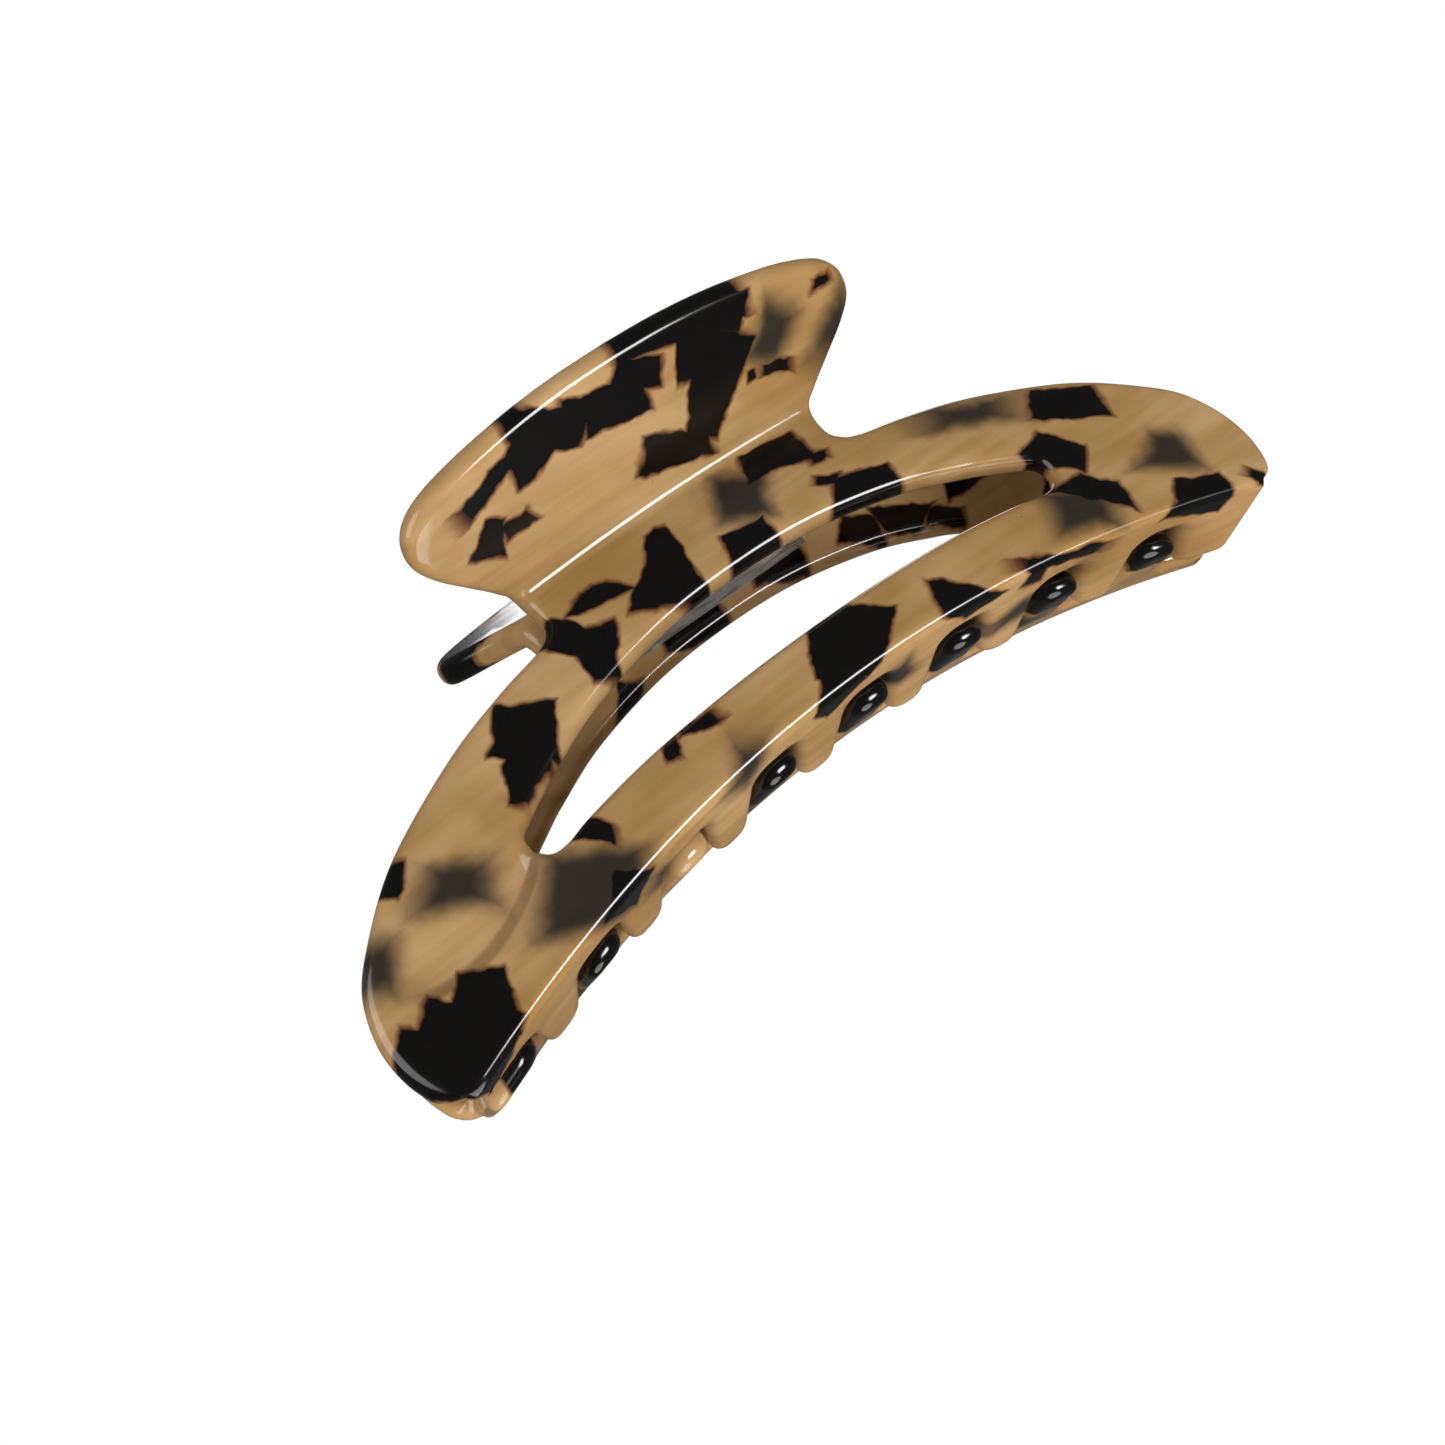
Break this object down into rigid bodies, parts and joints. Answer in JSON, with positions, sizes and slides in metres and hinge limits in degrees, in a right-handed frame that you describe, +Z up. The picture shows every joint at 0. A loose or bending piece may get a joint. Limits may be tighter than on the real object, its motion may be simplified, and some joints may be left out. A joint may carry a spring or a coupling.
{
  "type": "hair claw clip",
  "caption": "Hair claw clip: two curved, slotted, toothed jaws on a sprung hinge, opened by squeezing the two flared handles.",
  "frame": {"origin": "on the table under the middle of the closed clip, below the hinge", "axes": "+X along the clip and the hinge pin, +Y from the front jaw to the back jaw, +Z up through the handles"},
  "size_m": [0.1126, 0.0444, 0.0524],
  "materials": {
    "tortoiseshell_acetate": "polished translucent honey acetate with black and brown flakes",
    "hinge_steel": "plated, satin",
    "spring_wire": "bright drawn wire"
  },
  "bodies": {
    "front_half": {"front_jaw": "tortoiseshell_acetate", "front_hinge_leaf": "hinge_steel", "front_leaf_anchors": "hinge_steel", "hinge_pin": "hinge_steel", "torsion_spring": "spring_wire"},
    "back_half": {"back_jaw": "tortoiseshell_acetate", "back_hinge_leaf": "hinge_steel", "back_leaf_anchors": "hinge_steel"}
  },
  "joints": [
    {"name": "jaw_hinge", "type": "hinge", "parent": "front_half", "child": "back_half", "pos_m": [0, 0, 0.03477], "axis": [1, 0, 0], "range_deg": [0, 34], "stiffness_Nm_per_rad": 0.12, "springref_deg": -51.57, "deforming": ["torsion_spring"]}
  ]
}
